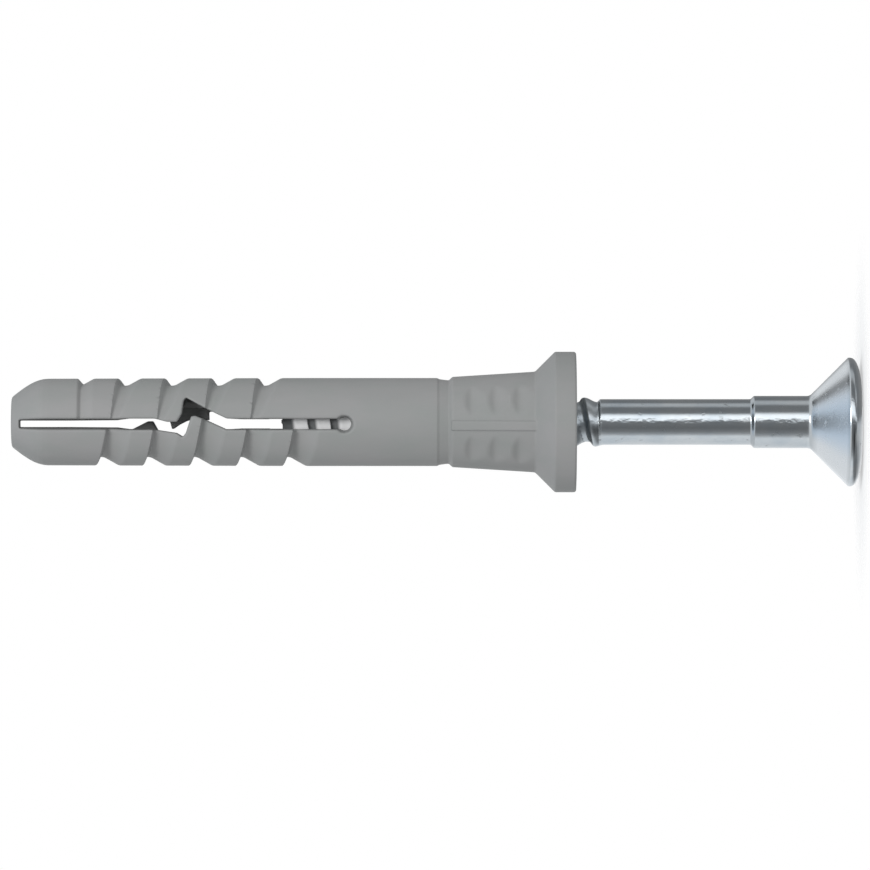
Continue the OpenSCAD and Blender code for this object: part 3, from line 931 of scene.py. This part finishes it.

# %% [markdown]
# Inside the sleeve two more things are painted into the zinc's colour. There it is painted pale
# and made mostly non-metallic, a painted brightening that stands in for the light the metal would
# mirror, so it scatters light as well as mirroring it. And hardly any light gets down into the
# grooves between the thread's lands, so their colour is darkened there with painted shade.

# %% Zinc plating
def make_zinc():
    mat, net, place = start_material("zinc_plated_steel")
    x, y, z = net.several("ShaderNodeSeparateXYZ", "XYZ", {0: place})
    rings = net.noise(place, (180, 180, 5200), 2.0, 0.5)
    crystals = net.noise(place, (6500, 6500, 6500), 3.0, 0.6)
    cloud = net.noise(place, (520, 520, 330), 4.0, 0.6)
    specks = net.ramp(net.noise(place, (2300, 2300, 1700), 2.0, 0.5), (0.66, 0.0), (0.74, 1.0))
    rolled = net.zone(z, ALONG, (SHANK_END - 0.2, 0.0), (SHANK_END + 0.4, 0.45),
                      (25, 0.55), (33, 1.0))
    # Painted brightening: inside the sleeve the zinc's colour is painted pale and made mostly
    # non-metallic.
    painted_pale_inside = net.zone(z, ALONG, (26, 0.0), (33, 1.0))
    # Painted brightening: the head's cone is painted a pale bluish colour, which lightens the dark
    # reflection of the collar in it.
    cone = net.zone(z, ALONG, (0.9, 0.0), (1.1, 1.0), (3.2, 1.0), (3.7, 0.0))
    base = net.blend_colour(net.ramp(cloud, (0.35, 0.0), (0.68, 1.0)),
                            colour("c6cbce"), colour("b4bdc4"))
    # The last colour, 565a5c, is painted shade in the grooves of the thread inside the sleeve.
    for share, code in ((specks * 0.5, "8d9294"), (painted_pale_inside, "f4f4f4"), (cone * 0.9, "eff4f8"),
                        (painted_thread_root_shade(net, place, z) * 0.85, "565a5c")):
        base = net.blend_colour(share, base, colour(code))
    height = (rings * 0.07 + crystals * 0.08 + cloud * 0.35 - specks * 0.08
              + die_dents(net, place, x, y, z) * 1.8)
    shader = net.node("ShaderNodeBsdfPrincipled", {}, {
        "Base Color": base, "Metallic": 1 - painted_pale_inside * 0.85,
        "Roughness": 0.13 + cloud * 0.08 + specks * 0.15 + rolled * 0.4 + cone * 0.1,
        "Normal": net.bump(0.25, 0.00012, height),
    })
    net.node("ShaderNodeOutputMaterial", {}, {"Surface": shader})
    return mat


zinc = make_zinc()
nail_skin.data.materials.append(zinc)
print("zinc nodes:", len(zinc.node_tree.nodes))

# %% [markdown]
# ## What each skin stands for
#
# The frame holds a plain body for each piece. Each skin rides on that body, so it moves with the
# joint and takes the body's place in the picture.

# %% Bodies and slots
for piece, body, slot in ((sleeve_skin, "sleeve", "nylon"), (nail_skin, "nail", "zinc_steel")):
    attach(piece, body)
    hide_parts(body)
    print(piece.name, "replaces the node", body, "and takes the slot", slot)

# %% [markdown]
# ## The tent
#
# Small bright parts are photographed in a white tent with a few dark cards, so that metal shows
# crisp bands instead of one flat white. The world does this. Near the table's level its light
# depends only on the direction round the plug's axis, white with darker stretches where the
# cards hang. Higher up it is an even pale grey, a little bluish overhead, with one small card,
# which draws the dark line on the cone of the head. Below the table's level it is darker towards
# -X, which shades one half of the head's dome.

# %% Light of the tent
TENT_BANDS = (
    (-180, 1.0), (-120, 0.95), (-76, 1.05), (-64, 0.55), (-50, 0.3), (-30, 0.2), (5, 0.26),
    (15, 1.85), (32, 1.65), (45, 0.25), (78, 0.25), (88, 0.65), (104, 0.65), (116, 0.25),
    (180, 0.3),
)
BRIGHTEST = 2.0
CARD_WAY, CARD_EDGE, CARD_FULL, CARD_DARK = (0.48, 0.42, 0.77), 11.5, 8, 0.97
OVERHEAD, DULL_LEVEL = 0.84, 0.57


def band_light(net, x, y):
    """Light by the direction round the axis, in degrees from -Y. A ramp's levels stop at 1."""
    around = net.node("ShaderNodeMath", {"operation": "ARCTAN2"}, {0: x, 1: y * -1.0})
    stops = [((a + 180) / 360, level / BRIGHTEST) for a, level in TENT_BANDS]
    return net.ramp(around / (2 * math.pi) + 0.5, *stops) * BRIGHTEST


def overhead_light(net, way, z):
    """The even upper part of the tent, with its one card."""
    near_card = net.node("ShaderNodeVectorMath", {"operation": "DOT_PRODUCT"},
                         {0: way, 1: Vector(CARD_WAY).normalized()}, out=1)
    card = net.ramp(near_card, (math.cos(math.radians(CARD_EDGE)), 0.0),
                    (math.cos(math.radians(CARD_FULL)), 1.0))
    return net.ramp(z, (0.75, 0.9), (0.97, 0.82)) * OVERHEAD * (1 - card * CARD_DARK)


def tent_light(net, way, x, y, z):
    """The bands near the table's level, the even part above, and the darker side below."""
    upper = net.ramp(z, (0.14, 0.0), (0.36, 1.0))
    below = net.ramp(z * -1.0, (0.15, 0.0), (0.45, 1.0))
    side = net.ramp(x * 0.5 + 0.5, (0.3, 0.75), (0.55, 0.05))
    around = band_light(net, x, y) * (1 - upper) + overhead_light(net, way, z) * upper
    return around * (1 - below * side)


print("the tent has", len(TENT_BANDS), "marks round the axis and a card", 2 * CARD_EDGE,
      "degrees across")

# %% [markdown]
# Dull surfaces scatter the tent's light evenly, so rays that leave them find the tent's mean level
# on all sides, and the lamps model the nylon's ribs. The camera itself sees plain white behind the
# object.

# %% World
def make_world():
    world = bpy.data.worlds.new("tent")
    world.use_nodes = True
    bpy.context.scene.world = world
    net = Net(world.node_tree)
    way = net.node("ShaderNodeTexCoord", out="Generated")
    x, y, z = net.several("ShaderNodeSeparateXYZ", "XYZ", {0: way})
    seen, dull = net.several("ShaderNodeLightPath", ("Is Camera Ray", "Is Diffuse Ray"))
    tint = net.blend_colour(net.ramp(z, (0.8, 0.0), (0.97, 1.0)),
                            (0.98, 0.99, 1.0, 1.0), (0.72, 0.85, 1.0, 1.0))
    strength = tent_light(net, way, x, y, z) * (1 - dull) + dull * DULL_LEVEL
    tent = net.node("ShaderNodeBackground", {}, {"Color": tint, "Strength": strength})
    plain = net.node("ShaderNodeBackground", {}, {"Color": (1, 1, 1, 1), "Strength": 1.0})
    both = net.node("ShaderNodeMixShader", {}, {0: seen, 1: tent, 2: plain})
    net.node("ShaderNodeOutputWorld", {}, {"Surface": both})


make_world()
print("world nodes:", len(bpy.context.scene.world.node_tree.nodes))

# %% [markdown]
# ## Floor
#
# The plug stands on a pale table. The camera looks along the table's surface, so only a thin
# strip of it would show, and it fades to white away from the plug, where the backdrop takes over.
# Rays that the metal mirrors pass through it, so that the head shows the tent below as well.

# %% Floor
FLOOR_R, FLOOR_SIDES, FLOOR_Z = 50, 64, -0.02


def make_table():
    mat, net, place = start_material("pale_table")
    fade = net.zone(net.length(place), (0, 100), (5, 0.45), (15, 1.0), mode="EASE")
    grain = net.noise(place, (900, 900, 900), 3.0, 0.5)
    table = net.node("ShaderNodeBsdfPrincipled", {}, {
        "Base Color": net.blend_colour(grain, colour("f8f8f8"), colour("fcfcfc")),
        "Roughness": 0.7})
    clear = net.node("ShaderNodeBsdfTransparent")
    mirrored_ray = net.several("ShaderNodeLightPath", ("Is Glossy Ray",))[0]
    seen = net.node("ShaderNodeMath", {"operation": "MAXIMUM"}, {0: fade, 1: mirrored_ray})
    both = net.node("ShaderNodeMixShader", {}, {0: seen, 1: table, 2: clear})
    net.node("ShaderNodeOutputMaterial", {}, {"Surface": both})
    return mat


def make_floor():
    mesh = bpy.data.meshes.new("floor")
    angles = [2 * math.pi * k / FLOOR_SIDES for k in range(FLOOR_SIDES)]
    rim = [(FLOOR_R * MM * math.cos(a), FLOOR_R * MM * math.sin(a), 0.0) for a in angles]
    mesh.from_pydata(rim, [], [list(range(FLOOR_SIDES))])
    mesh.materials.append(make_table())
    floor = bpy.data.objects.new("floor", mesh)
    bpy.context.scene.collection.objects.link(floor)
    floor.location.z = FLOOR_Z * MM
    floor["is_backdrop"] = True
    return floor


floor = make_floor()
print("floor is", floor.dimensions.x, "m across")

# %% [markdown]
# ## Lamps
#
# One soft lamp in front and above gives the nylon its shading from rib to rib. A weaker one
# stands behind and lights the back. The metal doesn't mirror that one, because the tent already
# gives it its bands.

# %% Lamps
def soft_lamp(name, place, size, power, towards):
    """A square lamp with a soft edge to its shadows, turned to a place on the plug."""
    data = bpy.data.lights.new(name, "AREA")
    data.shape, data.size, data.size_y = "RECTANGLE", size, size
    data.energy = power
    lamp = bpy.data.objects.new(name, data)
    lamp.location = place
    lamp.rotation_euler = (Vector(towards) - Vector(place)).to_track_quat("-Z", "Y").to_euler()
    bpy.context.scene.collection.objects.link(lamp)
    return lamp


key = soft_lamp("key", place=(0.085, -0.343, 0.228), size=0.14, power=0.78, towards=(0, 0, 0.04))
fill = soft_lamp("back_fill", place=(-0.12, 0.34, 0.2), size=0.2, power=0.5, towards=(0, 0, 0.03))
fill.visible_glossy = False
for lamp in (key, fill):
    print(lamp.name, "lamp at", tuple(round(c, 3) for c in lamp.location))

# %% [markdown]
# ## Camera
#
# The plug fills the picture from left to right, so the camera is rolled: its right is -Z and its
# top is +X. It stands 0.65 m away, turned half a degree about the axis, with a long lens,
# because the photograph shows almost no perspective.

# %% Camera
DISTANCE, VIEW_MM, TURN = 0.65, 61.68, math.radians(0.5)
SENSOR_MM, AIM_ALONG, AIM_ASIDE = 36, 30.2, 0.92
camera_data = bpy.data.cameras.new("camera")
camera_data.sensor_width = SENSOR_MM
camera_data.lens = SENSOR_MM * DISTANCE / (VIEW_MM * MM)
camera_data.clip_start, camera_data.clip_end = 0.05, 5
camera = bpy.data.objects.new("camera", camera_data)
bpy.context.scene.collection.objects.link(camera)
bpy.context.scene.camera = camera
back = Vector((math.sin(TURN), -math.cos(TURN), 0))
up = Vector((math.cos(TURN), math.sin(TURN), 0))
right = up.cross(back)
aim = Vector((0, 0, AIM_ALONG * MM)) - up * AIM_ASIDE * MM
turn = Matrix((right, up, back)).transposed().to_4x4()
camera.matrix_world = Matrix.Translation(aim + back * DISTANCE) @ turn
print("lens:", round(camera_data.lens, 1), "mm")

# %% [markdown]
# ## Settings and sizes
#
# The standard view shows colours as they are written. The box of the dressed plug is kept beside
# that of the plain one, to see that the skins haven't changed its size.

# %% Settings and sizes
bpy.context.scene.view_settings.view_transform = "Standard"
dressed_box = [list(v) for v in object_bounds()]
for name, box in (("CAD", cad_box), ("dressed", dressed_box)):
    print(name, "box in mm:", [[round(c / MM, 3) for c in v] for v in box])
